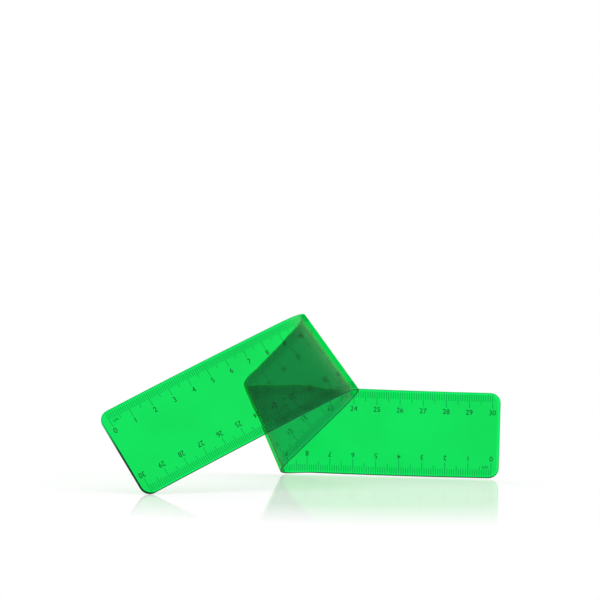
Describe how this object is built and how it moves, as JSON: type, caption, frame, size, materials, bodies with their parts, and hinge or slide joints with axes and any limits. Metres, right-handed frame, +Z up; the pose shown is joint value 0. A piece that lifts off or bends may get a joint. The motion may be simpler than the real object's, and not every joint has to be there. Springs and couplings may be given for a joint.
{
  "type": "flexible ruler",
  "caption": "Thin see-through flexible ruler with a centimetre scale along each long edge, standing bent in a loose Z and able to unroll flat.",
  "frame": {"origin": "on the floor, under the middle of the bounding box of the standing ruler", "axes": "+Z up, +X to the right as the scale reads, -Y towards the viewer of the scale faces"},
  "size_m": [0.168, 0.1466, 0.0719],
  "materials": {
    "green_plastic": "see-through neon green soft PVC, semi-gloss"
  },
  "bodies": {
    "left_end_panel": {"left_end_panel": "green_plastic"},
    "left_panel_1": {"left_panel_1": "green_plastic"},
    "left_panel_2": {"left_panel_2": "green_plastic"},
    "left_panel_3": {"left_panel_3": "green_plastic"},
    "left_inner_panel": {"left_inner_panel": "green_plastic"},
    "left_fold_slat_1": {"left_fold_slat_1": "green_plastic"},
    "left_fold_slat_2": {"left_fold_slat_2": "green_plastic"},
    "left_fold_slat_3": {"left_fold_slat_3": "green_plastic"},
    "left_fold_slat_4": {"left_fold_slat_4": "green_plastic"},
    "left_fold_slat_5": {"left_fold_slat_5": "green_plastic"},
    "left_fold_slat_6": {"left_fold_slat_6": "green_plastic"},
    "left_fold_slat_7": {"left_fold_slat_7": "green_plastic"},
    "middle_panel": {"middle_panel": "green_plastic"},
    "right_fold_slat_1": {"right_fold_slat_1": "green_plastic"},
    "right_fold_slat_2": {"right_fold_slat_2": "green_plastic"},
    "right_fold_slat_3": {"right_fold_slat_3": "green_plastic"},
    "right_fold_slat_4": {"right_fold_slat_4": "green_plastic"},
    "right_fold_slat_5": {"right_fold_slat_5": "green_plastic"},
    "right_fold_slat_6": {"right_fold_slat_6": "green_plastic"},
    "right_fold_slat_7": {"right_fold_slat_7": "green_plastic"},
    "right_fold_slat_8": {"right_fold_slat_8": "green_plastic"},
    "right_fold_slat_9": {"right_fold_slat_9": "green_plastic"},
    "right_inner_panel": {"right_inner_panel": "green_plastic"},
    "right_panel_1": {"right_panel_1": "green_plastic"},
    "right_panel_2": {"right_panel_2": "green_plastic"},
    "right_end_panel": {"right_end_panel": "green_plastic"}
  },
  "joints": [
    {"name": "right_fold_bend_1", "type": "hinge", "parent": "right_inner_panel", "child": "right_fold_slat_9", "pos_m": [-0.00577, 0.06994, 0.0193], "axis": [0.4092, 0.137, -0.9021], "range_deg": [-2.1, 15.86], "stiffness_Nm_per_rad": 1.8846},
    {"name": "right_fold_bend_2", "type": "hinge", "parent": "right_fold_slat_9", "child": "right_fold_slat_8", "pos_m": [-0.00914, 0.06942, 0.01921], "axis": [0.4092, 0.137, -0.9021], "range_deg": [-2.1, 15.86], "stiffness_Nm_per_rad": 1.8846},
    {"name": "right_fold_bend_3", "type": "hinge", "parent": "right_fold_slat_8", "child": "right_fold_slat_7", "pos_m": [-0.01226, 0.06807, 0.01911], "axis": [0.4092, 0.137, -0.9021], "range_deg": [-2.1, 15.86], "stiffness_Nm_per_rad": 1.8846},
    {"name": "right_fold_bend_4", "type": "hinge", "parent": "right_fold_slat_7", "child": "right_fold_slat_6", "pos_m": [-0.01496, 0.06599, 0.01909], "axis": [0.4092, 0.137, -0.9021], "range_deg": [-2.1, 15.86], "stiffness_Nm_per_rad": 1.8846},
    {"name": "right_fold_bend_5", "type": "hinge", "parent": "right_fold_slat_6", "child": "right_fold_slat_5", "pos_m": [-0.01705, 0.06331, 0.01926], "axis": [0.4092, 0.137, -0.9021], "range_deg": [-2.1, 15.86], "stiffness_Nm_per_rad": 1.8846},
    {"name": "right_fold_bend_6", "type": "hinge", "parent": "right_fold_slat_5", "child": "right_fold_slat_4", "pos_m": [-0.01844, 0.06023, 0.01968], "axis": [0.4092, 0.137, -0.9021], "range_deg": [-2.1, 15.86], "stiffness_Nm_per_rad": 1.8846},
    {"name": "right_fold_bend_7", "type": "hinge", "parent": "right_fold_slat_4", "child": "right_fold_slat_3", "pos_m": [-0.01905, 0.05697, 0.02043], "axis": [0.4092, 0.137, -0.9021], "range_deg": [-2.1, 15.86], "stiffness_Nm_per_rad": 1.8846},
    {"name": "right_fold_bend_8", "type": "hinge", "parent": "right_fold_slat_3", "child": "right_fold_slat_2", "pos_m": [-0.01888, 0.05375, 0.02154], "axis": [0.4092, 0.137, -0.9021], "range_deg": [-2.1, 15.86], "stiffness_Nm_per_rad": 1.8846},
    {"name": "right_fold_bend_9", "type": "hinge", "parent": "right_fold_slat_2", "child": "right_fold_slat_1", "pos_m": [-0.01799, 0.05082, 0.02302], "axis": [0.4092, 0.137, -0.9021], "range_deg": [-2.1, 15.86], "stiffness_Nm_per_rad": 1.8846},
    {"name": "right_fold_bend_10", "type": "hinge", "parent": "right_fold_slat_1", "child": "middle_panel", "pos_m": [-0.01648, 0.04837, 0.02485], "axis": [0.4092, 0.137, -0.9021], "range_deg": [-2.1, 15.86], "stiffness_Nm_per_rad": 1.8846},
    {"name": "left_fold_bend_1", "type": "hinge", "parent": "middle_panel", "child": "left_fold_slat_7", "pos_m": [0.00224, 0.03135, 0.04528], "axis": [-0.6071, 0.002, 0.7946], "range_deg": [-6, 13.56], "stiffness_Nm_per_rad": 0.8551},
    {"name": "left_fold_bend_2", "type": "hinge", "parent": "left_fold_slat_7", "child": "left_fold_slat_6", "pos_m": [0.00569, 0.02605, 0.04932], "axis": [-0.6071, 0.002, 0.7946], "range_deg": [-6, 13.56], "stiffness_Nm_per_rad": 0.8551},
    {"name": "left_fold_bend_3", "type": "hinge", "parent": "left_fold_slat_6", "child": "left_fold_slat_5", "pos_m": [0.00803, 0.01969, 0.05253], "axis": [-0.6071, 0.002, 0.7946], "range_deg": [-6, 13.56], "stiffness_Nm_per_rad": 0.8551},
    {"name": "left_fold_bend_4", "type": "hinge", "parent": "left_fold_slat_5", "child": "left_fold_slat_4", "pos_m": [0.0091, 0.01261, 0.05477], "axis": [-0.6071, 0.002, 0.7946], "range_deg": [-6, 13.56], "stiffness_Nm_per_rad": 0.8551},
    {"name": "left_fold_bend_5", "type": "hinge", "parent": "left_fold_slat_4", "child": "left_fold_slat_3", "pos_m": [0.00881, 0.0052, 0.05596], "axis": [-0.6071, 0.002, 0.7946], "range_deg": [-6, 13.56], "stiffness_Nm_per_rad": 0.8551},
    {"name": "left_fold_bend_6", "type": "hinge", "parent": "left_fold_slat_3", "child": "left_fold_slat_2", "pos_m": [0.00712, -0.00211, 0.0561], "axis": [-0.6071, 0.002, 0.7946], "range_deg": [-6, 13.56], "stiffness_Nm_per_rad": 0.8551},
    {"name": "left_fold_bend_7", "type": "hinge", "parent": "left_fold_slat_2", "child": "left_fold_slat_1", "pos_m": [0.00409, -0.00892, 0.05521], "axis": [-0.6071, 0.002, 0.7946], "range_deg": [-6, 13.56], "stiffness_Nm_per_rad": 0.8551},
    {"name": "left_fold_bend_8", "type": "hinge", "parent": "left_fold_slat_1", "child": "left_inner_panel", "pos_m": [-0.00013, -0.01485, 0.05339], "axis": [-0.6071, 0.002, 0.7946], "range_deg": [-6, 13.56], "stiffness_Nm_per_rad": 0.8551},
    {"name": "left_sweep_bend_1", "type": "hinge", "parent": "left_inner_panel", "child": "left_panel_3", "pos_m": [-0.01258, -0.02607, 0.04725], "axis": [-0.2803, 0.2782, 0.9187], "range_deg": [-5, 3.11], "stiffness_Nm_per_rad": 0.2619},
    {"name": "left_sweep_bend_2", "type": "hinge", "parent": "left_panel_3", "child": "left_panel_2", "pos_m": [-0.02968, -0.04, 0.03863], "axis": [-0.2803, 0.2782, 0.9187], "range_deg": [-5, 3.11], "stiffness_Nm_per_rad": 0.2619},
    {"name": "left_sweep_bend_3", "type": "hinge", "parent": "left_panel_2", "child": "left_panel_1", "pos_m": [-0.04731, -0.05293, 0.02954], "axis": [-0.2803, 0.2782, 0.9187], "range_deg": [-5, 3.11], "stiffness_Nm_per_rad": 0.2619},
    {"name": "left_sweep_bend_4", "type": "hinge", "parent": "left_panel_1", "child": "left_end_panel", "pos_m": [-0.06543, -0.06482, 0.01999], "axis": [-0.2803, 0.2782, 0.9187], "range_deg": [-5, 3.11], "stiffness_Nm_per_rad": 0.2619},
    {"name": "right_sweep_bend_1", "type": "hinge", "parent": "right_inner_panel", "child": "right_panel_1", "pos_m": [0.02249, 0.06717, 0.01902], "axis": [-0.4836, 0.2157, -0.8483], "range_deg": [-6, 1.53], "stiffness_Nm_per_rad": 0.3218},
    {"name": "right_sweep_bend_2", "type": "hinge", "parent": "right_panel_1", "child": "right_panel_2", "pos_m": [0.04439, 0.06552, 0.0189], "axis": [-0.4836, 0.2157, -0.8483], "range_deg": [-6, 1.53], "stiffness_Nm_per_rad": 0.3218},
    {"name": "right_sweep_bend_3", "type": "hinge", "parent": "right_panel_2", "child": "right_end_panel", "pos_m": [0.06632, 0.06438, 0.0189], "axis": [-0.4836, 0.2157, -0.8483], "range_deg": [-6, 1.53], "stiffness_Nm_per_rad": 0.3218}
  ]
}
